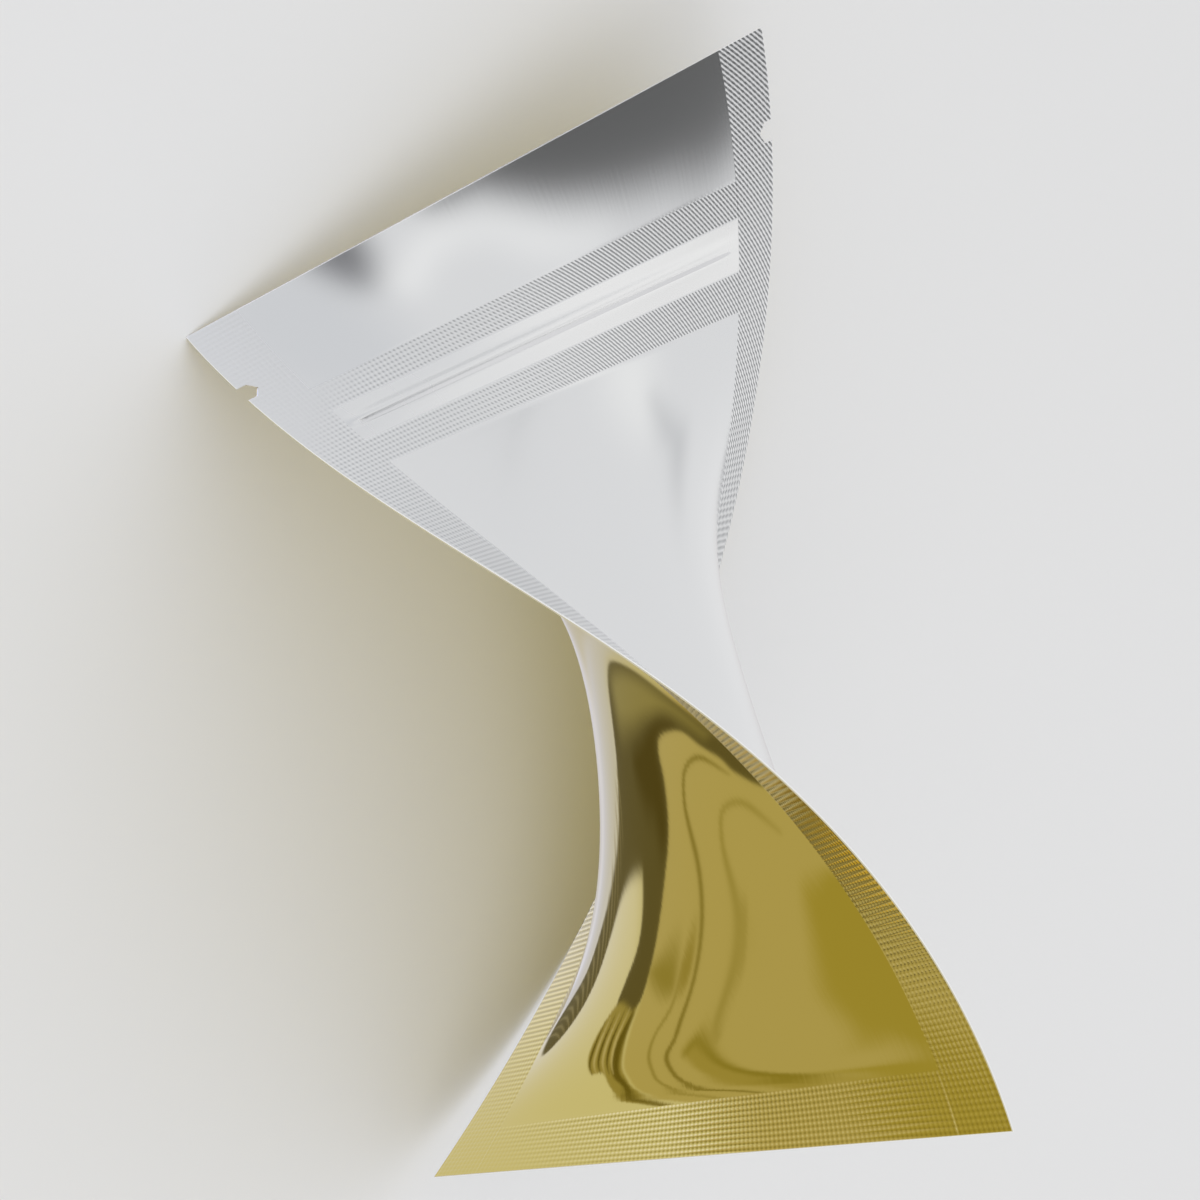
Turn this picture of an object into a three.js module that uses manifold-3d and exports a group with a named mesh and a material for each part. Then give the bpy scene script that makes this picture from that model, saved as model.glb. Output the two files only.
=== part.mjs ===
import * as THREE from 'three';
import { mergeVertices } from 'three/addons/utils/BufferGeometryUtils.js';
import Module from 'manifold-3d';

// A flat foil zip bag, 90 x 130 mm, that has been twisted about its length and bent.
// One film is silver and the other is gold. Sizes are in millimetres, angles in degrees.
//
// A point of the bag is first given on the flat bag: u runs across, from one side weld to
// the other, v runs down from the mouth, and n stands off the middle, towards the silver.

const bagWidth = 90;
const bagLength = 130;
const filmThickness = 0.2;
const sideWeld = 7.4;
const baseWeld = 7;

// Two welded bands hold the zip between them. Each is [upper edge, lower edge].
const upperBand = [14.6, 18.6];
const lowerBand = [24.4, 28.8];

// The zip: a rib with a groove under it, on a strip that stands a little proud. The strip
// is level nearly all the way across and drops to nothing at its ends, by this power.
const zipCushion = 0.35;
const zipRib = { at: 21, halfWidth: 1.1, height: 0.55 };
const zipGroove = { at: 21.9, halfWidth: 0.5, height: -0.35 };
const zipEndPower = 16;

// The lips of the unwelded mouth stand a little apart, and come together over the last
// stretch above the upper band. The space between them stops short of the welds.
const mouthGap = 0.7;
const mouthGapAtWeld = 0.12;
const lipClosing = 2;
const mouthMargin = 0.5;

// A tear notch in each side weld, with straight sides and a pointed end.
const notch = { at: 11.05, width: 2.2, straight: 1.35, depth: 2.3 };

// Cells of the mesh: across a weld or the opening, and down each zone of the bag.
const cellsAcross = { weld: 2, opening: 22 };
const cellsDown = { mouth: 5, band: 2, zip: 10, body: 36, baseWeld: 2 };

// Each film bellies out between the welds, most at this share of the way down. Over the last
// share of the way the belly comes gently down to the base weld.
const bellyPeak = 0.62;
const bellySoftEnd = 0.06;
const silverBelly = { height: 10.1, sharpness: 1.5 };
const goldBelly = { height: 10.1, sharpness: 1.32 };

// The twist from mouth to base, and how far the middle is turned from the plane of the bend.
const twist = 121.2;
const turnAtMiddle = 34.9;

// The bend from mouth to base, and how much tighter it is at the base than in the middle.
const bend = 44.5;
const bendGrowth = 0.19;

// How the bag lies on a table, and how much of its lowest edges is pressed flat there.
const layTurns = [143.9, -68.2, -123.6];
const flatSpot = 0.3;

const silver = 0xc9cbce;

const halfOpening = bagWidth / 2 - sideWeld;
const bodyTop = lowerBand[1];
const bodyBottom = bagLength - baseWeld;

// Evenly spaced values, from the first one up to the last one, which is left out.
function stations(from, to, count) {
  return Array.from({ length: count }, (_, i) => from + (to - from) * i / count);
}

// A smooth hump of height 1 at the middle, down to 0 at the half width.
function hump(value, { at, halfWidth, height }) {
  const share = Math.min(Math.abs(value - at) / halfWidth, 1);
  return height * (1 + Math.cos(Math.PI * share)) / 2;
}

function clamp(value) {
  return Math.min(Math.max(value, 0), 1);
}

// The share that is left to the base weld, made smaller where the belly flattens out.
function softEnd(left) {
  return left * (left / (left + bellySoftEnd)) ** 3;
}

// How far a film bellies out from the middle of the bag.
function belly(u, v, { height, sharpness }) {
  const down = clamp((v - bodyTop) / (bodyBottom - bodyTop));
  const rise = (down / bellyPeak) ** bellyPeak;
  const fall = (softEnd(1 - down) / softEnd(1 - bellyPeak)) ** (1 - bellyPeak);
  return height * clamp(1 - (u / halfOpening) ** 2) * (rise * fall) ** sharpness;
}

// How far the zip lifts each film, between the two bands and the side welds.
function zipLift(u, v) {
  if (v <= upperBand[1] || v >= lowerBand[0]) return 0;
  const down = (v - upperBand[1]) / (lowerBand[0] - upperBand[1]);
  const lift = zipCushion * Math.sin(Math.PI * down) + hump(v, zipRib) + hump(v, zipGroove);
  return lift * clamp(1 - (u / halfOpening) ** zipEndPower);
}

// Half the gap between the films above the upper band, which closes towards the welds.
function halfMouthGap(u, v) {
  const open = clamp(1 - (u / halfOpening) ** 2) * clamp(1 - v / upperBand[0]);
  return (mouthGapAtWeld * clamp((upperBand[0] - v) / lipClosing) + mouthGap * open) / 2;
}

function filmHeight(u, v, bellySize) {
  const inMouth = Math.abs(u) < halfOpening ? halfMouthGap(u, v) : 0;
  return filmThickness + inMouth + belly(u, v, bellySize) + zipLift(u, v);
}

// The bent centre line of the bag, at a share of the length counted from the middle.
const centreSteps = 24;
const bendAt = (share) => THREE.MathUtils.degToRad(bend) * (share + bendGrowth * (share ** 2 - 1 / 12));

function centreLine(share) {
  const step = share / centreSteps;
  const point = new THREE.Vector3();
  for (let i = 0; i < centreSteps; i += 1) {
    const lean = bendAt((i + 0.5) * step);
    point.x -= Math.sin(lean) * step * bagLength;
    point.z -= Math.cos(lean) * step * bagLength;
  }
  return point;
}

// Takes a point of the flat bag to its place on the twisted and bent bag.
function twisted(u, v, n) {
  const share = v / bagLength - 0.5;
  const turn = THREE.MathUtils.degToRad(turnAtMiddle + twist * share);
  const lean = bendAt(share);
  const across = u * Math.cos(turn) + n * Math.sin(turn);
  const through = u * Math.sin(turn) - n * Math.cos(turn);
  const point = centreLine(share);
  point.x += across * Math.cos(lean);
  point.y += through;
  point.z -= across * Math.sin(lean);
  return point;
}

// A closed sheet on a grid of lines: the upper face, the lower face and the rim round both.
function twistedSheet(across, down, upper, lower) {
  const points = [];
  const corner = (i, j, side) => (j * across.length + i) * 2 + side;
  for (const v of down) {
    for (const u of across) {
      points.push(...twisted(u, v, upper(u, v)), ...twisted(u, v, lower(u, v)));
    }
  }
  const triangles = [];
  const quad = (a, b, c, d) => triangles.push(a, b, c, a, c, d);
  const lastI = across.length - 1;
  const lastJ = down.length - 1;
  for (let j = 0; j < lastJ; j += 1) {
    for (let i = 0; i < lastI; i += 1) {
      quad(corner(i, j, 0), corner(i, j + 1, 0), corner(i + 1, j + 1, 0), corner(i + 1, j, 0));
      quad(corner(i, j, 1), corner(i + 1, j, 1), corner(i + 1, j + 1, 1), corner(i, j + 1, 1));
    }
    quad(corner(0, j, 0), corner(0, j, 1), corner(0, j + 1, 1), corner(0, j + 1, 0));
    quad(corner(lastI, j, 0), corner(lastI, j + 1, 0), corner(lastI, j + 1, 1), corner(lastI, j, 1));
  }
  for (let i = 0; i < lastI; i += 1) {
    quad(corner(i, 0, 0), corner(i + 1, 0, 0), corner(i + 1, 0, 1), corner(i, 0, 1));
    quad(corner(i, lastJ, 0), corner(i, lastJ, 1), corner(i + 1, lastJ, 1), corner(i + 1, lastJ, 0));
  }
  const geometry = new THREE.BufferGeometry();
  geometry.setAttribute('position', new THREE.Float32BufferAttribute(points, 3));
  geometry.setIndex(triangles);
  return geometry;
}

// The welded bag with its belly and its zip.
function bagSheet() {
  const across = [
    ...stations(-bagWidth / 2, -halfOpening, cellsAcross.weld),
    ...stations(-halfOpening, halfOpening, cellsAcross.opening),
    ...stations(halfOpening, bagWidth / 2, cellsAcross.weld),
    bagWidth / 2,
  ];
  const down = [
    ...stations(0, upperBand[0], cellsDown.mouth),
    ...stations(...upperBand, cellsDown.band),
    ...stations(upperBand[1], lowerBand[0], cellsDown.zip),
    ...stations(...lowerBand, cellsDown.band),
    ...stations(bodyTop, bodyBottom, cellsDown.body),
    ...stations(bodyBottom, bagLength, cellsDown.baseWeld),
    bagLength,
  ];
  return twistedSheet(across, down,
    (u, v) => filmHeight(u, v, silverBelly),
    (u, v) => -filmHeight(u, v, goldBelly));
}

// The space between the lips of the mouth, from just above them down to the upper band.
function mouthSpace() {
  const above = -1;
  const edge = halfOpening - mouthMargin;
  const across = [...stations(-edge, edge, cellsAcross.opening), edge];
  const down = [above, ...stations(0, upperBand[0], cellsDown.mouth), upperBand[0] - mouthMargin];
  return twistedSheet(across, down, (u, v) => halfMouthGap(u, Math.max(v, 0)),
    (u, v) => -halfMouthGap(u, Math.max(v, 0)));
}

// A notch is cut by a pointed block that runs in from outside the side weld.
function notchBlock(side) {
  const outside = 2;
  const thickness = 4;
  const half = notch.width / 2;
  const outline = new THREE.Shape([
    [-outside, -half], [notch.straight, -half], [notch.depth, 0],
    [notch.straight, half], [-outside, half],
  ].map(([inward, along]) => new THREE.Vector2(inward, along)));
  const block = new THREE.ExtrudeGeometry(outline, { depth: thickness, bevelEnabled: false });
  const position = block.getAttribute('position');
  for (let i = 0; i < position.count; i += 1) {
    const u = side * (bagWidth / 2 - position.getX(i));
    const v = notch.at + side * position.getY(i);
    const point = twisted(u, v, position.getZ(i) - thickness / 2);
    position.setXYZ(i, point.x, point.y, point.z);
  }
  return block;
}

const wasm = await Module();
wasm.setup();

function solid(geometry) {
  const samePoint = 1e-5;
  geometry.deleteAttribute('normal');
  geometry.deleteAttribute('uv');
  const merged = mergeVertices(geometry, samePoint);
  return new wasm.Manifold(new wasm.Mesh({
    numProp: 3,
    vertProperties: new Float32Array(merged.getAttribute('position').array),
    triVerts: new Uint32Array(merged.index.array),
  }));
}

function geometryOf(manifold) {
  const mesh = manifold.getMesh();
  const geometry = new THREE.BufferGeometry();
  geometry.setAttribute('position', new THREE.BufferAttribute(mesh.vertProperties, 3));
  geometry.setIndex(new THREE.BufferAttribute(mesh.triVerts, 1));
  return geometry;
}

// Lays the bag down: turned, centred over the origin, and a little way into the table top.
function laid(geometry) {
  const turns = layTurns.map(THREE.MathUtils.degToRad);
  geometry.applyMatrix4(new THREE.Matrix4().makeRotationFromEuler(new THREE.Euler(...turns)));
  geometry.computeBoundingBox();
  const { min, max } = geometry.boundingBox;
  return geometry.translate(-(min.x + max.x) / 2, -(min.y + max.y) / 2, -min.z - flatSpot);
}

// A block under the table top, well wider than the bag.
function underTable() {
  const width = 400;
  const depth = 10;
  return new THREE.BoxGeometry(width, width, depth).translate(0, 0, -depth / 2);
}

const cut = solid(bagSheet())
  .subtract(solid(mouthSpace()))
  .subtract(solid(notchBlock(1)))
  .subtract(solid(notchBlock(-1)));
const bagGeometry = geometryOf(solid(laid(geometryOf(cut))).subtract(solid(underTable())));
bagGeometry.computeVertexNormals();

const foil = new THREE.MeshStandardMaterial({ color: silver, roughness: 0.3, metalness: 1 });
const foilBag = new THREE.Mesh(bagGeometry, foil);
foilBag.name = 'foil_bag';

const model = new THREE.Group();
model.add(foilBag);

export default model;
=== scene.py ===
import math

import bpy
import numpy as np
from mathutils import Euler, Matrix, Vector


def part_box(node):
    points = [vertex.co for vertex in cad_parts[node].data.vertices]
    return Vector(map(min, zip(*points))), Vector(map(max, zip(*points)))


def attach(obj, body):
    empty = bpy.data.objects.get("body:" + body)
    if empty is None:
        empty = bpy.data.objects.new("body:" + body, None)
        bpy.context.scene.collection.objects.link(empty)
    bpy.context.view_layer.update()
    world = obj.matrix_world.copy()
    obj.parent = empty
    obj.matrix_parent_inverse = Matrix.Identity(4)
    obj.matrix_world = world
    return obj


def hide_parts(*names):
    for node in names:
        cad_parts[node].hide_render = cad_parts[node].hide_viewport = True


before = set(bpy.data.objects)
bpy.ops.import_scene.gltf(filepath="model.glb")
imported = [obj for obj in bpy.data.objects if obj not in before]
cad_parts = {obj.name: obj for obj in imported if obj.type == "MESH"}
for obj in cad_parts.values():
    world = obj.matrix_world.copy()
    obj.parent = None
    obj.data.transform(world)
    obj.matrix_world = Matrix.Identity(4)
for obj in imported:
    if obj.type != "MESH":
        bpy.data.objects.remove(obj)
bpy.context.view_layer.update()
scene = bpy.context.scene
scene.view_settings.view_transform = "Standard"
mm = 0.001

# The flat bag: x runs across it, y runs down from the mouth at 0 to the base, and z stands off
# the middle, towards the silver film. The gold film is on the other side of the middle.
bag = {
    "Width": 90 * mm,
    "Length": 130 * mm,
    "Side Weld": 7.4 * mm,
    "Base Weld": 7 * mm,
    "Upper Band Top": 14.6 * mm,
    "Upper Band Bottom": 18.6 * mm,
    "Lower Band Top": 24.4 * mm,
    "Lower Band Bottom": 28.8 * mm,
    "Zip Cushion": 0.35 * mm,  # how proud the strip between the bands stands
    "Zip Rib": 0.55 * mm,
    "Zip Rib At": 21 * mm,
    "Zip Rib Half Width": 1.1 * mm,
    "Zip Groove": -0.35 * mm,
    "Zip Groove At": 21.9 * mm,
    "Zip Groove Half Width": 0.5 * mm,
    "Mouth Gap": 0.7 * mm,
    "Belly Peak": 0.62,  # share of the way down the body
    "Belly Soft End": 0.06,  # over this share the belly comes gently down to the base weld
    "Twist": math.radians(121.2),
    "Turn At Middle": math.radians(34.9),
    "Bend": math.radians(44.5),
    "Bend Growth": 0.19,
}
film = {
    "thickness": 0.2 * mm,
    "gap": 0.005 * mm,  # between a film and the middle of the bag
    "zipEndPower": 8,  # how sharply the zip drops at its ends
    "bendSteps": 24,
    "layTurns": (143.9, -68.2, -123.6),  # degrees
    "creaseAngle": 50,
}
notch = {
    "at": 11.05 * mm,
    "width": 2.2 * mm,
    "straight": 1.35 * mm,
    "depth": 2.3 * mm,
    "overhang": 1 * mm,  # how far what cuts it reaches past the film
}
lattice = {"dimple": 0.672 * mm, "cellsPerDimple": 3, "bodyCells": 3, "insideCells": 6}

silverFilm = {
    "side": 1,
    "Belly Height": 10.1 * mm,
    "Belly Sharpness": 1.5,
    "Dimple Height": -0.07 * mm,
    "film": (0.79, 0.797, 0.805),
    "zip": (0.93, 0.93, 0.925),
    "pit": (0.3, 0.305, 0.315),  # painted shade in the bottoms of the dimples
    # painted highlight on the tops of the dimples
    "crest": (0.97, 0.97, 0.97),
    "crestHaze": 0.6,  # how far the tops of the dimples scatter light and don't mirror it
    # how strongly the painted shade and highlights of the dimples are laid on
    "pitShare": 0.85,
    "rowShare": 1,  # how far the painted shade and highlights of the dimples join up in rows, painted reflection stripes
    "rowSlant": 1,  # 1 where the painted rows run slanting over the weld
    "weldRoughness": 0.5,
    "pitWeights": (1, 1.5),  # of the places across and down, which say where the painted shade and highlights of the pits begin
    "pitStart": (-16 * mm, -2 * mm),
    "inside": (0.8, 0.8, 0.81),
    "rimWidth": 0.1 * mm,
    "rim": (0.9, 0.9, 0.89),  # the cut edge
    "roughness": (0.14, 0.2),
    "zipRoughness": 0.3,
}
goldFilm = {
    "side": -1,
    "Belly Height": 10.1 * mm,
    "Belly Sharpness": 1.32,
    "Dimple Height": 0.07 * mm,
    "film": (0.55, 0.44, 0.11),
    "zip": (0.55, 0.44, 0.11),
    # painted shade in the bottoms of the dimples
    "pit": (0.24, 0.17, 0.01),
    # painted highlight on the tops of the dimples
    "crest": (0.85, 0.72, 0.33),
    "crestHaze": 0,
    "pitShare": 0.75,
    "rowShare": 0.4,
    "rowSlant": 0,
    "weldRoughness": 0.16,
    "pitWeights": (-1, -1.5),
    "pitStart": (-232 * mm, -190 * mm),
    "inside": (0.8, 0.8, 0.81),
    "rimWidth": 0.06 * mm,
    "rim": (0.62, 0.57, 0.4),
    "roughness": (0.03, 0.07),
    "zipRoughness": 0.12,
}
finish = {
    "shadeFaintAt": -40 * mm,  # between these two, from one side weld towards the other, the painted shade and highlights of the dimples get stronger
    "shadeFullAt": 15 * mm,
    # the share of the painted shade and highlights that is left on the faint side
    "faintShadeShare": 0.45,
    "pitRange": (0.1, 0.9),  # of the dimples' pattern, from where a pit's painted shade begins to where it is full
    "weldEdge": 0.1 * mm,
    "zipEdge": 0.2 * mm,
    "waves": {"scale": (28, 7), "detail": 2, "roughness": 0.4, "height": 0.05 * mm},
    "lines": {"scale": (1900, 12), "detail": 1, "roughness": 0.5, "height": 0.0012 * mm},
}

photoCamera = {
    "place": (-0.7 * mm, -275.3 * mm, 307.7 * mm),
    "elevation": 45.3,  # degrees that it looks down by
    "roll": 98.94,
    "lens": 92.9,
    "sensor": 36,
}
studio = {
    "pale": (0.85, 0.852, 0.857),  # the light that comes from all round
    "lampPlace": (0.67, -0.385, 0.92),  # metres
    "lampSize": 0.7,
    "lampPower": 2.2,
    "floorColour": (0.8, 0.8, 0.8),
    "floorRoughness": 0.9,
    "floorHalf": 6,  # half its width
    "radius": 20,  # of the two domes
    "rings": 450,
    "spokes": 900,
    "strokeSteps": 6,  # from one point of a stroke to the next
}


class Wire:  # one socket, and the maths that can be done on it
    def __init__(self, graph, socket):
        self.graph = graph
        self.socket = socket

    def maths(self, operation, *values):
        return self.graph.add("ShaderNodeMath", {"operation": operation}, dict(enumerate(values)))

    def __add__(self, other):
        return self.maths("ADD", self, other)

    def __radd__(self, other):
        return self.maths("ADD", other, self)

    def __sub__(self, other):
        return self.maths("SUBTRACT", self, other)

    def __rsub__(self, other):
        return self.maths("SUBTRACT", other, self)

    def __mul__(self, other):
        return self.maths("MULTIPLY", self, other)

    def __rmul__(self, other):
        return self.maths("MULTIPLY", other, self)

    def __truediv__(self, other):
        return self.maths("DIVIDE", self, other)

    def __pow__(self, other):
        return self.maths("POWER", self, other)

    def __neg__(self):
        return self.maths("MULTIPLY", self, -1)

    def __gt__(self, other):
        return self.maths("GREATER_THAN", self, other)

    def __lt__(self, other):
        return self.maths("LESS_THAN", self, other)

    def __abs__(self):
        return self.maths("ABSOLUTE", self)

    def sin(self):
        return self.maths("SINE", self)

    def cos(self):
        return self.maths("COSINE", self)

    def larger(self, other):
        return self.maths("MAXIMUM", self, other)

    def clamp(self):
        return self.graph.add("ShaderNodeClamp", {}, {"Value": self})

    def ramp(self, start, end):  # 0 up to start, 1 from end on, smooth between
        return self.graph.add("ShaderNodeMapRange", {"interpolation_type": "SMOOTHSTEP"},
                              {"Value": self, "From Min": start, "From Max": end})

    def output(self, name):
        return Wire(self.graph, self.socket.node.outputs[name])


class Graph:  # a node tree
    def __init__(self, tree):
        self.tree = tree

    def add(self, kind, settings=None, values=None, output=0):
        node = self.tree.nodes.new(kind)
        for name, setting in (settings or {}).items():
            setattr(node, name, setting)
        for name, value in (values or {}).items():
            if isinstance(value, Wire):
                self.tree.links.new(value.socket, node.inputs[name])
            else:
                node.inputs[name].default_value = value
        return Wire(self, node.outputs[output]) if len(node.outputs) else node

    def parts(self, vector):
        split = self.add("ShaderNodeSeparateXYZ", {}, {"Vector": vector})
        return split, split.output("Y"), split.output("Z")


# The flat film is a grid, fine on the welds and coarse elsewhere. A cell is given by its left,
# right, top and bottom lines, counted from the corner at the mouth.

def steps(first, last, size):
    return [*range(first, last, size), last]


def cells(across, down):
    return [(a, b, c, d) for a, b in zip(across, across[1:]) for c, d in zip(down, down[1:])]


def latticeSize():
    dimples = round(bag["Width"] / lattice["dimple"]), round(bag["Length"] / lattice["dimple"])
    return tuple(lattice["cellsPerDimple"] * count for count in dimples)


def lineAcross(place):
    return round(place / bag["Width"] * latticeSize()[0])


def lineDown(place):
    return round(place / bag["Length"] * latticeSize()[1])


def filmCells():
    countAcross, countDown = latticeSize()
    left = lineAcross(bag["Side Weld"])
    right = countAcross - left
    upperTop, upperBottom = lineDown(bag["Upper Band Top"]), lineDown(bag["Upper Band Bottom"])
    lowerTop, lowerBottom = lineDown(bag["Lower Band Top"]), lineDown(bag["Lower Band Bottom"])
    base = lineDown(bag["Length"] - bag["Base Weld"])
    fine, wide = steps(left, right, 1), steps(left, right, lattice["bodyCells"])
    outside = []
    for side in ((0, left), (right, countAcross)):
        outside += cells(steps(*side, 1), steps(0, countDown, 1))
    for band in ((upperTop, upperBottom), (lowerTop, lowerBottom), (base, countDown)):
        outside += cells(fine, steps(*band, 1))
    outside += cells(wide, steps(0, upperTop, lattice["bodyCells"]))
    outside += cells(wide, steps(upperBottom, lowerTop, 1))
    outside += cells(wide, steps(lowerBottom, base, lattice["bodyCells"]))
    size = lattice["insideCells"]
    across = steps(0, left, size)[:-1] + steps(left, right, size)[:-1] + steps(right, countAcross, size)
    down = steps(0, base, size)[:-1] + steps(base, countDown, size)
    return outside, cells(across, down)


def border(cell, used):  # the used grid points round a cell
    left, right, top, bottom = cell
    walk = [(left, j) for j in range(top, bottom)] + [(i, bottom) for i in range(left, right)]
    walk += [(right, j) for j in range(bottom, top, -1)] + [(i, top) for i in range(right, left, -1)]
    return [point for point in walk if point in used]


def corners(group):  # the grid points at the corners of cells
    return {(i, j) for a, b, c, d in group for i in (a, b) for j in (c, d)}


def flatFilm(side):
    countAcross, countDown = latticeSize()
    outside, inside = filmCells()
    used = [corners(outside), corners(inside)]
    rim = {(i, j) for layer in used for i, j in layer if i in (0, countAcross) or j in (0, countDown)}
    used = [layer | rim for layer in used]
    heights = side * (film["gap"] + film["thickness"]), side * film["gap"]
    points, index = [], []
    for layer, height in zip(used, heights):
        index.append({point: len(points) + k for k, point in enumerate(sorted(layer))})
        points += [(bag["Width"] * (i / countAcross - 0.5), -bag["Length"] * j / countDown, height)
                   for i, j in sorted(layer)]
    faces = [[index[0][point] for point in border(cell, used[0])] for cell in outside]
    faces += [[index[1][point] for point in border(cell, used[1])][::-1] for cell in inside]
    loop = border((0, countAcross, 0, countDown), rim)
    for here, there in zip(loop, loop[1:] + loop[:1]):
        faces.append([index[0][here], index[1][here], index[1][there], index[0][there]])
    if side < 0:
        faces = [face[::-1] for face in faces]
    mesh = bpy.data.meshes.new("flat")
    mesh.from_pydata(points, [], faces)
    return mesh


def notchCutters():
    half, overhang = notch["width"] / 2, notch["overhang"]
    outline = [(-overhang, -half), (notch["straight"], -half), (notch["depth"], 0),
               (notch["straight"], half), (-overhang, half)]
    count = len(outline)
    points, faces = [], []
    for side in (-1, 1):
        first = len(points)
        for height in (-overhang, overhang):
            points += [(side * (bag["Width"] / 2 - inward), -notch["at"] + side * along, height)
                       for inward, along in outline]
        low = list(range(first, first + count))
        high = list(range(first + count, first + 2 * count))
        faces += [low, high[::-1]]
        faces += [[low[k], high[k], high[k - 1], low[k - 1]] for k in range(count)]
    mesh = bpy.data.meshes.new("notches")
    mesh.from_pydata(points, [], faces)
    return mesh


# Geometry Nodes give the flat film its belly, zip, dimples, twist and bend. Below, u runs across,
# v runs down from the mouth and n stands off the middle.

def hump(value, height, place, halfWidth):
    share = abs(value - place) / halfWidth
    return height * (1 + (math.pi * share.maths("MINIMUM", share, 1)).cos()) / 2


def softEnd(left, size):
    return left * (left / (left + size["Belly Soft End"])) ** 3


def bellyOf(u, v, size, bodyTop, bodyBottom, halfOpening):
    down = ((v - bodyTop) / (bodyBottom - bodyTop)).clamp()
    peak = size["Belly Peak"]
    shape = (down / peak) ** peak * (softEnd(1 - down, size) / softEnd(1 - peak, size)) ** (1 - peak)
    side = (1 - u * u / (halfOpening * halfOpening)).clamp()
    return size["Belly Height"] * side * shape ** size["Belly Sharpness"]


def zipOf(u, v, size, halfOpening):
    top, bottom = size["Upper Band Bottom"], size["Lower Band Top"]
    down = ((v - top) / (bottom - top)).clamp()
    lift = size["Zip Cushion"] * (math.pi * down).sin()
    for name in ("Zip Rib", "Zip Groove"):
        lift = lift + hump(v, size[name], size[name + " At"], size[name + " Half Width"])
    ends = (1 - (u * u / (halfOpening * halfOpening)) ** film["zipEndPower"]).clamp()
    return lift * ends * (v > top) * (v < bottom)


def mouthOf(u, v, size, halfOpening):
    top = size["Upper Band Top"]
    side = (1 - u * u / (halfOpening * halfOpening)).clamp()
    return size["Mouth Gap"] * side * (1 - v / top).clamp() / 2


def dimplesOf(u, v, n, size, bodyBottom, halfOpening):
    countAcross, countDown = latticeSize()
    pitchAcross = bag["Width"] * lattice["cellsPerDimple"] / countAcross
    pitchDown = bag["Length"] * lattice["cellsPerDimple"] / countDown
    margin = pitchAcross / (2 * lattice["cellsPerDimple"])  # half a cell
    welds = abs(u) > halfOpening + margin
    for band in ("Upper Band", "Lower Band"):
        inBand = (v > size[band + " Top"] + margin) * (v < size[band + " Bottom"] - margin)
        welds = welds.larger(inBand)
    welds = welds.larger(v.ramp(bodyBottom, bodyBottom + pitchDown))
    inEdges = (abs(u) < size["Width"] / 2 - margin) * (v > margin) * (v < size["Length"] - margin)
    across = (u * (2 * math.pi / pitchAcross)).cos()
    along = (v * (2 * math.pi / pitchDown)).cos()
    outside = abs(n) > film["thickness"] / 2
    return size["Dimple Height"] * (across + along) / 2 * welds * inEdges * outside


def bendOf(share, size):  # 1 / 12 is the mean of the squared share over the whole length
    return size["Bend"] * (share + size["Bend Growth"] * (share * share - 1 / 12))


def centreLine(share, size):
    count = film["bendSteps"]
    x = z = 0
    for k in range(count):
        lean = bendOf(share * ((k + 0.5) / count), size)
        x = x - lean.sin()
        z = z - lean.cos()
    scale = share * size["Length"] / count
    return x * scale, z * scale


def filmTree(name, side, material):
    tree = bpy.data.node_groups.new(name, "GeometryNodeTree")
    tree.interface.new_socket("Geometry", in_out="INPUT", socket_type="NodeSocketGeometry")
    names = [*bag, "Belly Height", "Belly Sharpness", "Dimple Height"]
    for label in names:
        tree.interface.new_socket(label, in_out="INPUT", socket_type="NodeSocketFloat")
    tree.interface.new_socket("Geometry", in_out="OUTPUT", socket_type="NodeSocketGeometry")
    graph = Graph(tree)
    given = graph.add("NodeGroupInput")
    size = {label: given.output(label) for label in names}
    position = graph.add("GeometryNodeInputPosition")
    u, y, n = graph.parts(position)
    v = -y
    halfOpening = size["Width"] / 2 - size["Side Weld"]
    bodyTop = size["Lower Band Bottom"]
    bodyBottom = size["Length"] - size["Base Weld"]
    lift = bellyOf(u, v, size, bodyTop, bodyBottom, halfOpening) + zipOf(u, v, size, halfOpening)
    lift = lift + mouthOf(u, v, size, halfOpening) + dimplesOf(u, v, n, size, bodyBottom, halfOpening)
    n = n + side * lift
    share = v / size["Length"] - 0.5
    turn = size["Turn At Middle"] + size["Twist"] * share
    lean = bendOf(share, size)
    across = u * turn.cos() + n * turn.sin()
    through = u * turn.sin() - n * turn.cos()
    x, z = centreLine(share, size)
    place = graph.add("ShaderNodeCombineXYZ", {}, {
        "X": x + across * lean.cos(), "Y": through, "Z": z - across * lean.sin()})
    marked = graph.add("GeometryNodeStoreNamedAttribute", {"data_type": "FLOAT_VECTOR"}, {
        "Geometry": given.output("Geometry"), "Name": "flat", "Value": position})
    formed = graph.add("GeometryNodeSetPosition", {}, {"Geometry": marked, "Position": place})
    realized = graph.add("GeometryNodeRealizeInstances", {}, {"Geometry": formed})
    finished = graph.add("GeometryNodeSetMaterial", {}, {"Geometry": realized, "Material": material})
    graph.add("NodeGroupOutput", {}, {"Geometry": finished})
    return tree


def setInputs(modifier, values):
    for item in modifier.node_group.interface.items_tree:
        if item.in_out == "INPUT" and item.name in values:
            modifier[item.identifier] = values[item.name]


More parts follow.
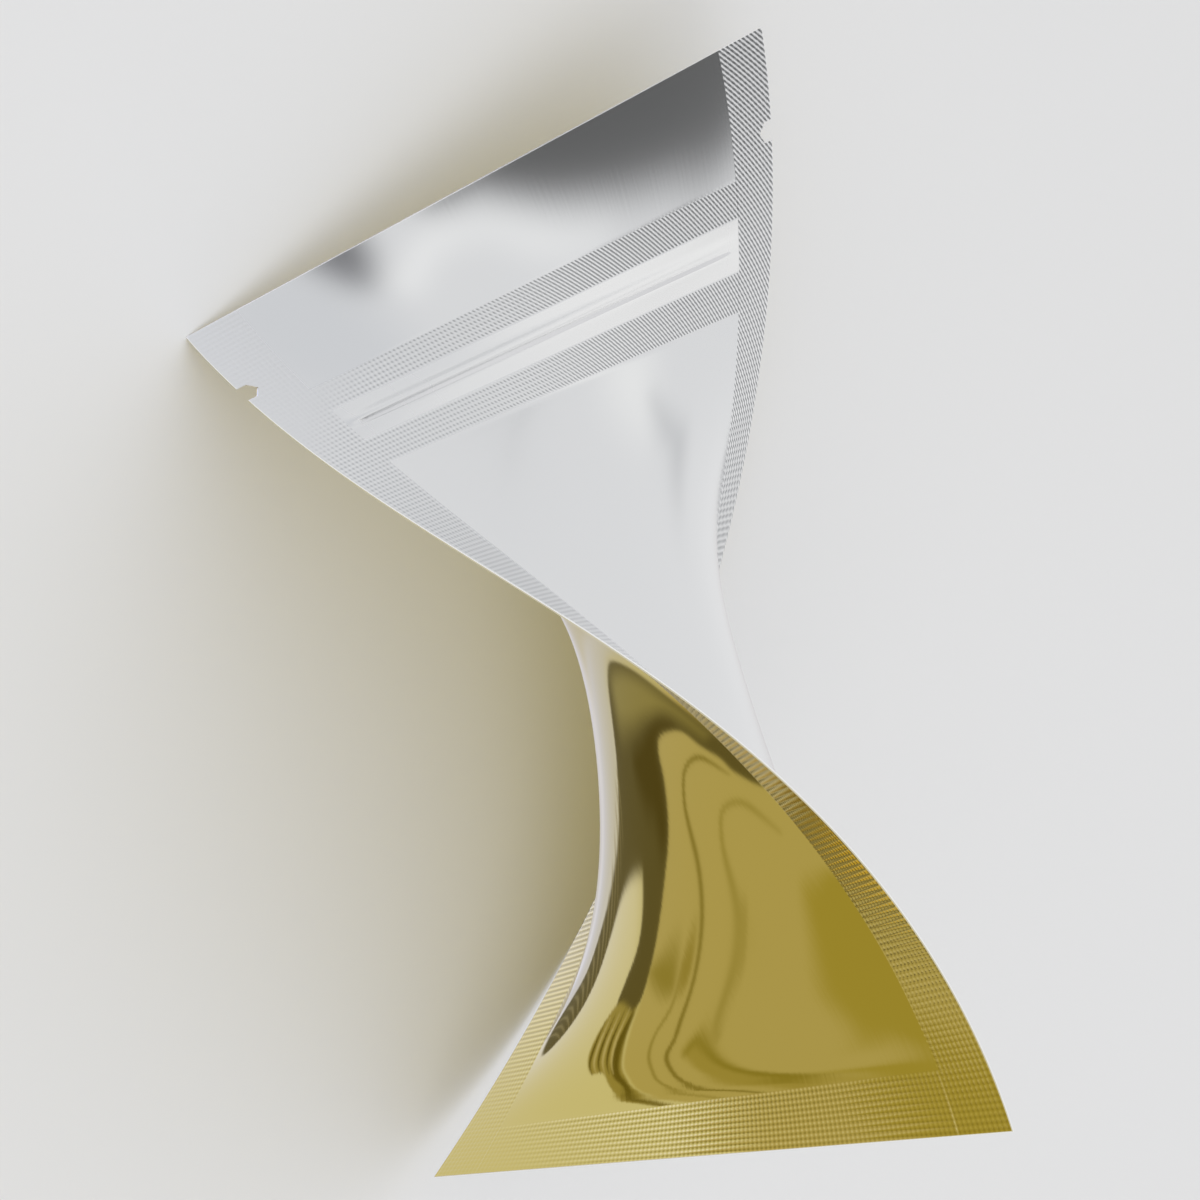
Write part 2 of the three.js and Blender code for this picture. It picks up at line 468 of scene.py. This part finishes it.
def formedFilm(name, piece):
    material = filmMaterial(name, piece)
    flat = bpy.data.objects.new(name + "_flat", flatFilm(piece["side"]))
    cutter = bpy.data.objects.new(name + "_notches", notchCutters())
    scene.collection.objects.link(flat)
    scene.collection.objects.link(cutter)
    cut = flat.modifiers.new("notches", "BOOLEAN")
    cut.operation = "DIFFERENCE"
    cut.solver = "EXACT"
    cut.object = cutter
    form = flat.modifiers.new("form", "NODES")
    form.node_group = filmTree(name + "_form", piece["side"], material)
    setInputs(form, {**bag, **piece})
    bpy.context.view_layer.update()
    evaluated = flat.evaluated_get(bpy.context.evaluated_depsgraph_get())
    mesh = bpy.data.meshes.new_from_object(evaluated)
    mesh.name = name
    mesh.transform(Euler([math.radians(turn) for turn in film["layTurns"]], "ZYX").to_matrix().to_4x4())
    for helper in (flat, cutter):
        bpy.data.objects.remove(helper)
    print(name, len(mesh.vertices), "points", len(mesh.polygons), "faces")
    return mesh


def creaseWelds(mesh):  # a sharp fold where the belly meets a side weld or the base weld
    flat = np.empty(3 * len(mesh.vertices))
    mesh.attributes["flat"].data.foreach_get("vector", flat)
    u, y = flat.reshape(-1, 3)[:, :2].T
    countAcross, countDown = latticeSize()
    weld = lineAcross(bag["Side Weld"])
    base = lineDown(bag["Length"] - bag["Base Weld"])
    onSide = abs(abs(u) - bag["Width"] * (0.5 - weld / countAcross)) < film["gap"]
    onBase = abs(y + bag["Length"] * base / countDown) < film["gap"]
    ends = np.empty(2 * len(mesh.edges), int)
    mesh.edges.foreach_get("vertices", ends)
    sharp = np.empty(len(mesh.edges), bool)
    mesh.edges.foreach_get("use_edge_sharp", sharp)
    for line in (onSide, onBase):
        sharp |= line[ends].reshape(-1, 2).all(1)
    mesh.edges.foreach_set("use_edge_sharp", sharp)


def layOnTable(meshes):
    points = [vertex.co for mesh in meshes for vertex in mesh.vertices]
    low = Vector(min(point[axis] for point in points) for axis in range(3))
    high = Vector(max(point[axis] for point in points) for axis in range(3))
    cadLow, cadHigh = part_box("foil_bag")
    shift = (Vector(cadLow) + Vector(cadHigh) - low - high) / 2
    shift.z = cadHigh[2] - high.z
    for mesh in meshes:
        mesh.transform(Matrix.Translation(shift))
        for vertex in mesh.vertices:
            vertex.co.z = max(vertex.co.z, 0)
        mesh.shade_smooth()
        mesh.set_sharp_from_angle(angle=math.radians(film["creaseAngle"]))
        creaseWelds(mesh)


def newMaterial(name):
    material = bpy.data.materials.new(name)
    material.use_nodes = True
    material.node_tree.nodes.clear()
    return material, Graph(material.node_tree)


def mixColours(graph, share, first, second):  # inputs 6 and 7 and output 2 are the ones for colours
    mixed = graph.add("ShaderNodeMix", {"data_type": "RGBA"}, {"Factor": share}, output=2)
    for socket, colour in ((6, first), (7, second)):
        if isinstance(colour, Wire):
            graph.tree.links.new(colour.socket, mixed.socket.node.inputs[socket])
        else:
            mixed.socket.node.inputs[socket].default_value = (*colour, 1)
    return mixed


def weldMask(u, v):  # 1 on the welds, 0 elsewhere
    edge = finish["weldEdge"]
    halfOpening = bag["Width"] / 2 - bag["Side Weld"]
    mask = abs(u).ramp(halfOpening, halfOpening + edge)
    for band in ("Upper Band", "Lower Band"):
        top, bottom = bag[band + " Top"], bag[band + " Bottom"]
        mask = mask.larger(v.ramp(top, top + edge) * v.ramp(bottom, bottom - edge))
    base = bag["Length"] - bag["Base Weld"]
    return mask.larger(v.ramp(base, base + edge))


def noiseOn(graph, flat, noise):
    place = graph.add("ShaderNodeMapping", {}, {"Vector": flat, "Scale": (*noise["scale"], 0)})
    return graph.add("ShaderNodeTexNoise", {"noise_dimensions": "2D"}, {
        "Vector": place, "Scale": 1, "Detail": noise["detail"], "Roughness": noise["roughness"]})


def filmMaterial(name, look):
    material, graph = newMaterial(name)
    flat = graph.add("ShaderNodeAttribute", {"attribute_name": "flat"}, output="Vector")
    u, y, n = graph.parts(flat)
    v = -y
    welds = weldMask(u, v)
    countAcross, countDown = latticeSize()
    across = u * (2 * math.pi * countAcross / lattice["cellsPerDimple"] / bag["Width"])
    along = v * (2 * math.pi * countDown / lattice["cellsPerDimple"] / bag["Length"])
    dots = (across.cos() + along.cos()) * (look["side"] / 2)
    # slanting rows of painted shade and highlight, standing in for the reflections that line up across
    # the dimples
    rows = (across * look["rowSlant"] - along).cos() * look["side"]
    clear = u.ramp(finish["shadeFaintAt"], finish["shadeFullAt"])  # the painted shade and highlights of the pits are fainter on one side of the bag, and the zip's lighter colour fades there too and there they don't join up in painted rows
    pattern = dots + look["rowShare"] * clear * (rows - dots)  # and there they don't join up in rows
    depth = finish["faintShadeShare"] + (1 - finish["faintShadeShare"]) * clear
    weightAcross, weightDown = look["pitWeights"]
    clearPits = welds * depth * (u * weightAcross + v * weightDown).ramp(*look["pitStart"])
    start, full = finish["pitRange"]
    pits = clearPits * pattern.ramp(start, full)
    crests = clearPits * pattern.ramp(-start, -full)
    zipTop, zipBottom = bag["Upper Band Bottom"], bag["Lower Band Top"]
    inZip = v.ramp(zipTop, zipTop + finish["zipEdge"])
    inZip = inZip * v.ramp(zipBottom, zipBottom - finish["zipEdge"]) * (1 - welds)
    colour = mixColours(graph, inZip * clear, look["film"], look["zip"])
    # painted shade in the pits and a painted highlight on the crests
    colour = mixColours(graph, look["pitShare"] * pits, colour, look["pit"])
    colour = mixColours(graph, look["pitShare"] * crests, colour, look["crest"])
    inside = abs(n).ramp(film["thickness"] * 0.6, film["thickness"] * 0.4)
    colour = mixColours(graph, inside, colour, look["inside"])
    rim = abs(u).ramp(bag["Width"] / 2 - look["rimWidth"], bag["Width"] / 2)
    for edge in (0, bag["Length"]):
        rim = rim.larger(abs(v - edge).ramp(look["rimWidth"], 0))
    colour = mixColours(graph, rim, colour, look["rim"])
    waves = noiseOn(graph, flat, finish["waves"])
    lines = noiseOn(graph, flat, finish["lines"])
    low, high = look["roughness"]
    roughness = low + (high - low) * waves + (look["zipRoughness"] - high) * inZip
    roughness = roughness + (look["weldRoughness"] - high) * welds
    height = waves * finish["waves"]["height"] + lines * finish["lines"]["height"]
    bump = graph.add("ShaderNodeBump", {}, {"Height": height, "Distance": 1, "Strength": 1})
    metallic = (1 - rim) * (1 - look["crestHaze"] * crests)
    shader = graph.add("ShaderNodeBsdfPrincipled", {}, {
        "Base Color": colour, "Metallic": metallic, "Roughness": roughness, "Normal": bump})
    graph.add("ShaderNodeOutputMaterial", {}, {"Surface": shader})
    return material


def addCamera():
    camera = bpy.data.objects.new("photo_camera", bpy.data.cameras.new("photo_camera"))
    camera.data.lens = photoCamera["lens"]
    camera.data.sensor_width = photoCamera["sensor"]
    tilt = Matrix.Rotation(math.radians(90 - photoCamera["elevation"]), 4, "X")
    roll = Matrix.Rotation(math.radians(photoCamera["roll"]), 4, "Z")
    camera.matrix_world = Matrix.Translation(photoCamera["place"]) @ tilt @ roll
    scene.collection.objects.link(camera)
    scene.camera = camera


def addFloor():
    mesh = bpy.data.meshes.new("floor")
    half = studio["floorHalf"]
    points = [(-half, -half, 0), (half, -half, 0), (half, half, 0), (-half, half, 0)]
    mesh.from_pydata(points, [], [(0, 1, 2, 3)])
    floor = bpy.data.objects.new("floor", mesh)
    material, graph = newMaterial("floor")
    shader = graph.add("ShaderNodeBsdfPrincipled", {}, {
        "Base Color": (*studio["floorColour"], 1), "Roughness": studio["floorRoughness"]})
    graph.add("ShaderNodeOutputMaterial", {}, {"Surface": shader})
    mesh.materials.append(material)
    floor.visible_glossy = False
    scene.collection.objects.link(floor)


# What the foil mirrors: two domes that only the foil shows, one over the table and one under it,
# painted in soft strokes. A stroke's points are on a map of directions, with straight up or
# straight down in the middle and the horizon 1 away from it. A closed stroke is filled, and an
# open one has half its width with each point.
# Each stroke: name, closed, colour, softness, points.
skyStrokes = [
    ("dark corner", True, (0.135, 0.135, 0.135), 0.045,
     [(-0.21, -0.12), (-0.132, 0.01), (-0.118, 0.06), (-0.083, 0.162), (-0.023, 0.287), (0.027, 0.375),
      (0.107, 0.48), (0.4, 0.4), (0.45, 0.0), (0.3, -0.35), (-0.05, -0.4)]),
    ("dark spot", True, (0.15, 0.15, 0.16), 0.06,
     [(-0.52, -0.2), (-0.49, -0.11), (-0.42, -0.12), (-0.35, -0.2), (-0.38, -0.32), (-0.49, -0.32)]),
    ("bright ridge", False, (1.05, 1.05, 1.04), 0.06,
     [(-0.4, -0.03, 0.03), (-0.28, -0.03, 0.03), (-0.19, 0.06, 0.02), (-0.15, 0.19, 0.02),
      (-0.09, 0.3, 0.01)]),
    ("grey side", True, (0.75, 0.76, 0.78), 0.12,
     [(-0.55, -0.35), (-0.55, 0.1), (-0.75, 0.15), (-0.95, 0.0), (-0.85, -0.4)]),
    ("bright patch", True, (0.98, 0.98, 0.97), 0.12,
     [(-0.6, 0.45), (-0.55, 0.72), (-0.45, 0.72), (-0.4, 0.5), (-0.5, 0.38)]),
    ("grey stripe", False, (0.6, 0.605, 0.615), 0.08,
     [(-0.44, 0.66, 0.0), (-0.43, 0.78, 0.02), (-0.4, 0.9, 0.03), (-0.38, 0.92, 0.03)]),
]
groundStrokes = [
    ("grey stripe", False, (0.6, 0.605, 0.615), 0.08,
     [(-0.38, 0.93, 0.04), (-0.36, 0.86, 0.03), (-0.33, 0.78, 0.0)]),
    ("limb", True, (0.64, 0.62, 0.62), 0.1,
     [(-0.05, 0.3), (0.0, 0.27), (0.1, 0.26), (0.22, 0.24), (0.4, 0.25), (0.4, 0.5), (0.05, 0.6),
      (-0.05, 0.45)]),
    ("cream", True, (1.0, 1.05, 1.42), 0.03,
     [(-0.4, 0.1), (-0.16, 0.34), (0.0, 0.38), (0.12, 0.2), (0.2, 0.1), (0.2, -0.15), (0.18, -0.4),
      (0.0, -0.75), (-0.3, -0.9), (-0.5, -0.6), (-0.5, -0.2)]),
    ("olive", True, (0.72, 0.68, 0.58), 0.008,
     [(0.24, -0.11), (0.21, -0.18), (0.2, -0.27), (0.21, -0.335), (0.17, -0.39), (0.07, -0.4),
      (-0.02, -0.42), (-0.06, -0.5), (-0.12, -0.7), (-0.1, -0.95), (0.3, -0.95), (0.7, -0.75),
      (0.92, -0.4), (0.92, 0.1), (0.62, 0.15), (0.5, -0.03), (0.35, 0.05), (0.27, 0.0)]),
    ("right patch", True, (0.57, 0.52, 0.21), 0.018,
     [(0.545, -0.325), (0.58, -0.335), (0.64, -0.33), (0.7, -0.45), (0.6, -0.7), (0.4, -0.7),
      (0.36, -0.47), (0.42, -0.415), (0.46, -0.375), (0.5, -0.378), (0.53, -0.362), (0.536, -0.345)]),
    ("wedge", True, (0.78, 0.81, 1.05), 0.02,
     [(0.136, 0.125), (0.11, 0.15), (0.081, 0.186), (0.056, 0.2), (0.028, 0.24), (0.03, 0.3),
      (0.1, 0.27), (0.24, 0.25), (0.32, 0.17), (0.24, 0.2), (0.19, 0.18), (0.16, 0.14)]),
    ("amber", True, (0.9, 0.66, 0.12), 0.03,
     [(0.37, 0.12), (0.42, 0.03), (0.47, 0.0), (0.58, 0.1), (0.55, 0.35), (0.38, 0.38), (0.33, 0.24)]),
    ("dark", True, (0.18, 0.165, 0.115), 0.004,
     [(-0.03, 0.13), (0.0, 0.2), (0.028, 0.235), (0.056, 0.2), (0.081, 0.186), (0.111, 0.151),
      (0.136, 0.127), (0.155, 0.134), (0.172, 0.155), (0.197, 0.179), (0.235, 0.19), (0.3, 0.15),
      (0.37, 0.08), (0.43, 0.01), (0.48, -0.06), (0.53, -0.16), (0.484, -0.121), (0.461, -0.085),
      (0.424, -0.047), (0.386, -0.004), (0.328, 0.016), (0.309, 0.0), (0.305, -0.038),
      (0.289, -0.079), (0.25, -0.1), (0.223, -0.14), (0.19, -0.135), (0.152, -0.085), (0.17, -0.06),
      (0.2, -0.05), (0.207, -0.02), (0.198, 0.0), (0.145, 0.07), (0.112, 0.093), (0.082, 0.09),
      (0.046, 0.088), (0.0, 0.1)]),
    ("dim", True, (0.42, 0.4, 0.28), 0.025,
     [(0.21, 0.165), (0.25, 0.165), (0.32, 0.12), (0.4, 0.03), (0.44, -0.03), (0.37, 0.04), (0.31, 0.06),
      (0.25, 0.08), (0.2, 0.12)]),
    ("darkest", True, (0.13, 0.11, 0.05), 0.016,
     [(0.22, 0.06), (0.27, 0.045), (0.33, 0.04), (0.37, 0.015), (0.33, 0.02), (0.305, 0.005),
      (0.3, -0.04), (0.285, -0.075), (0.265, -0.07), (0.255, -0.03), (0.235, 0.0)]),
    ("brush", True, (0.5, 0.46, 0.26), 0.006,
     [(0.125, -0.08), (0.16, -0.085), (0.2, -0.135), (0.215, -0.145), (0.2, -0.18), (0.193, -0.27),
      (0.2, -0.33), (0.17, -0.385), (0.07, -0.395), (-0.07, -0.37), (0.05, -0.365), (0.112, -0.345),
      (0.125, -0.285), (0.11, -0.25), (0.07, -0.225), (0.065, -0.15), (0.09, -0.1)]),
    ("dark brush", False, (0.22, 0.19, 0.05), 0.008,
     [(0.205, -0.15, 0.006), (0.18, -0.19, 0.014), (0.168, -0.24, 0.016), (0.168, -0.29, 0.014),
      (0.178, -0.34, 0.012), (0.14, -0.372, 0.009), (0.04, -0.382, 0.006), (-0.05, -0.37, 0.002)]),
    ("contour", False, (0.36, 0.32, 0.12), 0.004,
     [(0.47, -0.12, 0.001), (0.416, -0.066, 0.004), (0.369, -0.064, 0.004), (0.347, -0.095, 0.004),
      (0.346, -0.127, 0.004), (0.352, -0.163, 0.004), (0.354, -0.2, 0.004), (0.349, -0.225, 0.005),
      (0.348, -0.25, 0.005), (0.336, -0.278, 0.006), (0.345, -0.326, 0.006), (0.325, -0.374, 0.006),
      (0.247, -0.424, 0.006), (0.155, -0.473, 0.002)]),
    ("inner contour", False, (0.48, 0.44, 0.24), 0.005,
     [(0.319, -0.184, 0.002), (0.315, -0.203, 0.004), (0.291, -0.226, 0.004), (0.284, -0.266, 0.005),
      (0.292, -0.329, 0.005), (0.249, -0.397, 0.005), (0.035, -0.447, 0.002)]),
    ("second contour", False, (0.5, 0.46, 0.25), 0.006,
     [(0.537, -0.251, 0.001), (0.493, -0.188, 0.004), (0.465, -0.167, 0.004), (0.432, -0.163, 0.004),
      (0.417, -0.182, 0.004), (0.414, -0.208, 0.004), (0.425, -0.246, 0.004), (0.44, -0.262, 0.003)]),
    ("low blob", True, (0.56, 0.51, 0.27), 0.012,
     [(0.4, -0.25), (0.374, -0.273), (0.395, -0.303), (0.395, -0.345), (0.318, -0.416), (0.222, -0.473),
      (0.35, -0.44), (0.43, -0.39), (0.455, -0.34), (0.461, -0.304), (0.441, -0.274)]),
    ("blob rim", False, (0.4, 0.36, 0.1), 0.01,
     [(0.38, -0.28, 0.002), (0.4, -0.26, 0.005), (0.43, -0.278, 0.006), (0.45, -0.31, 0.007),
      (0.45, -0.345, 0.009), (0.42, -0.385, 0.009), (0.33, -0.43, 0.004)]),
    ("smudge", True, (0.45, 0.41, 0.18), 0.01,
     [(0.24, -0.118), (0.27, -0.133), (0.303, -0.16), (0.31, -0.187), (0.28, -0.172), (0.25, -0.14)]),
    ("small smudge", True, (0.48, 0.43, 0.2), 0.006,
     [(0.318, -0.176), (0.34, -0.184), (0.341, -0.2), (0.325, -0.196)]),
]


def fineLines():  # thin lines side by side: a sheaf in the dark, and dark and light ones in the brush
    for k in range(16):
        at = 0.01 * k
        groundStrokes.append(("dark line", False, (0.4, 0.37, 0.29), 0.0022, [
            (at, 0.23 - 0.6 * at, 0.0002), (at + 0.003, 0.17 - 0.3 * at, 0.0012), (at, 0.095, 0.0002)]))
    for k in range(7):
        at = k / 6
        colour = (0.75, 0.72, 0.75) if k % 2 else (0.2, 0.17, 0.04)
        groundStrokes.append(("brush line", False, colour, 0.004, [
            (0.12 + 0.09 * at, -0.082 - 0.055 * at, 0.0005),
            (0.09 + 0.09 * at, -0.125 - 0.055 * at, 0.005),
            (0.07 + 0.1 * at, -0.18 - 0.06 * at, 0.004),
            (0.075 + 0.1 * at, -0.235 - 0.06 * at, 0.0005)]))


def addLight():
    world = bpy.data.worlds.new("studio")
    world.use_nodes = True
    world.node_tree.nodes.clear()
    graph = Graph(world.node_tree)
    light = graph.add("ShaderNodeBackground", {}, {"Color": (*studio["pale"], 1)})
    graph.add("ShaderNodeOutputWorld", {}, {"Surface": light})
    scene.world = world
    lamp = bpy.data.objects.new("soft_lamp", bpy.data.lights.new("soft_lamp", "AREA"))
    lamp.data.size = studio["lampSize"]
    lamp.data.energy = studio["lampPower"]
    place = Vector(studio["lampPlace"])
    lamp.matrix_world = Matrix.Translation(place) @ place.to_track_quat("Z", "Y").to_matrix().to_4x4()
    lamp.visible_glossy = False
    scene.collection.objects.link(lamp)


def smoothPath(points, closed):  # a smooth curve through the points
    count = studio["strokeSteps"]
    knots = np.array(points)
    if closed:
        rows = [np.roll(knots, shift, 0) for shift in (1, 0, -1, -2)]
    else:
        padded = np.vstack([knots[:1], knots, knots[-1:]])
        rows = [padded[:-3], padded[1:-2], padded[2:-1], padded[3:]]
    a, b, c, d = [row[:, None] for row in rows]
    t = (np.arange(count) / count)[None, :, None]
    turn, twist = 2 * a - 5 * b + 4 * c - d, 3 * b - a - 3 * c + d
    path = b + ((c - a) * t + turn * t ** 2 + twist * t ** 3) / 2
    path = path.reshape(-1, knots.shape[1])
    return path if closed else np.vstack([path, knots[-1:]])


def outsideBy(x, y, path, closed):  # how far each place is outside the stroke
    tiny = 1e-12  # in place of a division by zero
    nearest = np.full(x.shape, np.inf)
    inside = np.zeros(x.shape, bool)
    ends = np.roll(path, -1, 0) if closed else path[1:]
    for here, there in zip(path, ends):
        dx, dy = there[:2] - here[:2]
        along = ((x - here[0]) * dx + (y - here[1]) * dy) / (dx * dx + dy * dy + tiny)
        along = np.clip(along, 0, 1)
        away = np.hypot(x - here[0] - along * dx, y - here[1] - along * dy)
        if closed:
            crosses = (here[1] > y) != (there[1] > y)
            inside ^= crosses & (x < here[0] + (y - here[1]) * dx / (dy or tiny))
        else:
            away = away - here[2] - along * (there[2] - here[2])
        nearest = np.minimum(nearest, away)
    return np.where(inside, -nearest, nearest)


def paintedColours(x, y, strokes):
    colours = np.tile(studio["pale"], (len(x), 1))
    for _, closed, colour, softness, points in strokes:
        path = smoothPath(points, closed)
        margin = softness + (0 if closed else path[:, 2].max())
        low, high = path[:, :2].min(0) - margin, path[:, :2].max(0) + margin
        near = np.where((x > low[0]) & (x < high[0]) & (y > low[1]) & (y < high[1]))[0]
        cover = np.clip(0.5 - outsideBy(x[near], y[near], path, closed) / (2 * softness), 0, 1)
        cover = (cover * cover * (3 - 2 * cover))[:, None]
        colours[near] += (np.array(colour) - colours[near]) * cover
    return colours


def addDome(name, side, strokes):
    rings, spokes = studio["rings"], studio["spokes"]
    reach = np.linspace(0, 1, rings + 1)[:, None]
    angles = np.arange(spokes) * 2 * np.pi / spokes
    x, y = (reach * np.cos(angles)).ravel(), (reach * np.sin(angles)).ravel()
    spread = 1 + x * x + y * y
    points = np.stack([2 * x, 2 * y, side * (2 - spread)], 1) / spread[:, None] * studio["radius"]
    corner = np.arange(rings * spokes).reshape(rings, spokes)
    beside = np.roll(corner, -1, 1)
    faces = np.stack([corner, beside, beside + spokes, corner + spokes], 2).reshape(-1, 4)
    mesh = bpy.data.meshes.new(name)
    mesh.from_pydata(points.tolist(), [], faces.tolist())
    colours = np.hstack([paintedColours(x, y, strokes), np.ones((len(x), 1))])
    mesh.color_attributes.new("paint", "FLOAT_COLOR", "POINT").data.foreach_set("color", colours.ravel())
    material, graph = newMaterial(name)
    paint = graph.add("ShaderNodeAttribute", {"attribute_name": "paint"}, output="Color")
    light = graph.add("ShaderNodeEmission", {}, {"Color": paint})
    clear = graph.add("ShaderNodeBsdfTransparent")
    bounced = graph.add("ShaderNodeLightPath", output="Diffuse Depth") > 0.5
    shown = graph.add("ShaderNodeMixShader", {}, {"Fac": bounced, 1: light, 2: clear})
    graph.add("ShaderNodeOutputMaterial", {}, {"Surface": shown})
    material.cycles.emission_sampling = "NONE"  # it isn't a lamp: what mirrors it finds it
    mesh.materials.append(material)
    dome = bpy.data.objects.new(name, mesh)
    dome.visible_camera = dome.visible_diffuse = dome.visible_shadow = dome.visible_transmission = False
    scene.collection.objects.link(dome)


addCamera()
addFloor()
addLight()
fineLines()
addDome("sky", 1, skyStrokes)
addDome("ground", -1, groundStrokes)
print("camera, floor and light are made")

meshes = [formedFilm("silver_film", silverFilm), formedFilm("gold_film", goldFilm)]
layOnTable(meshes)
for mesh in meshes:
    piece = bpy.data.objects.new(mesh.name, mesh)
    scene.collection.objects.link(piece)
    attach(piece, "root")
    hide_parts("foil_bag")
print("films are made")
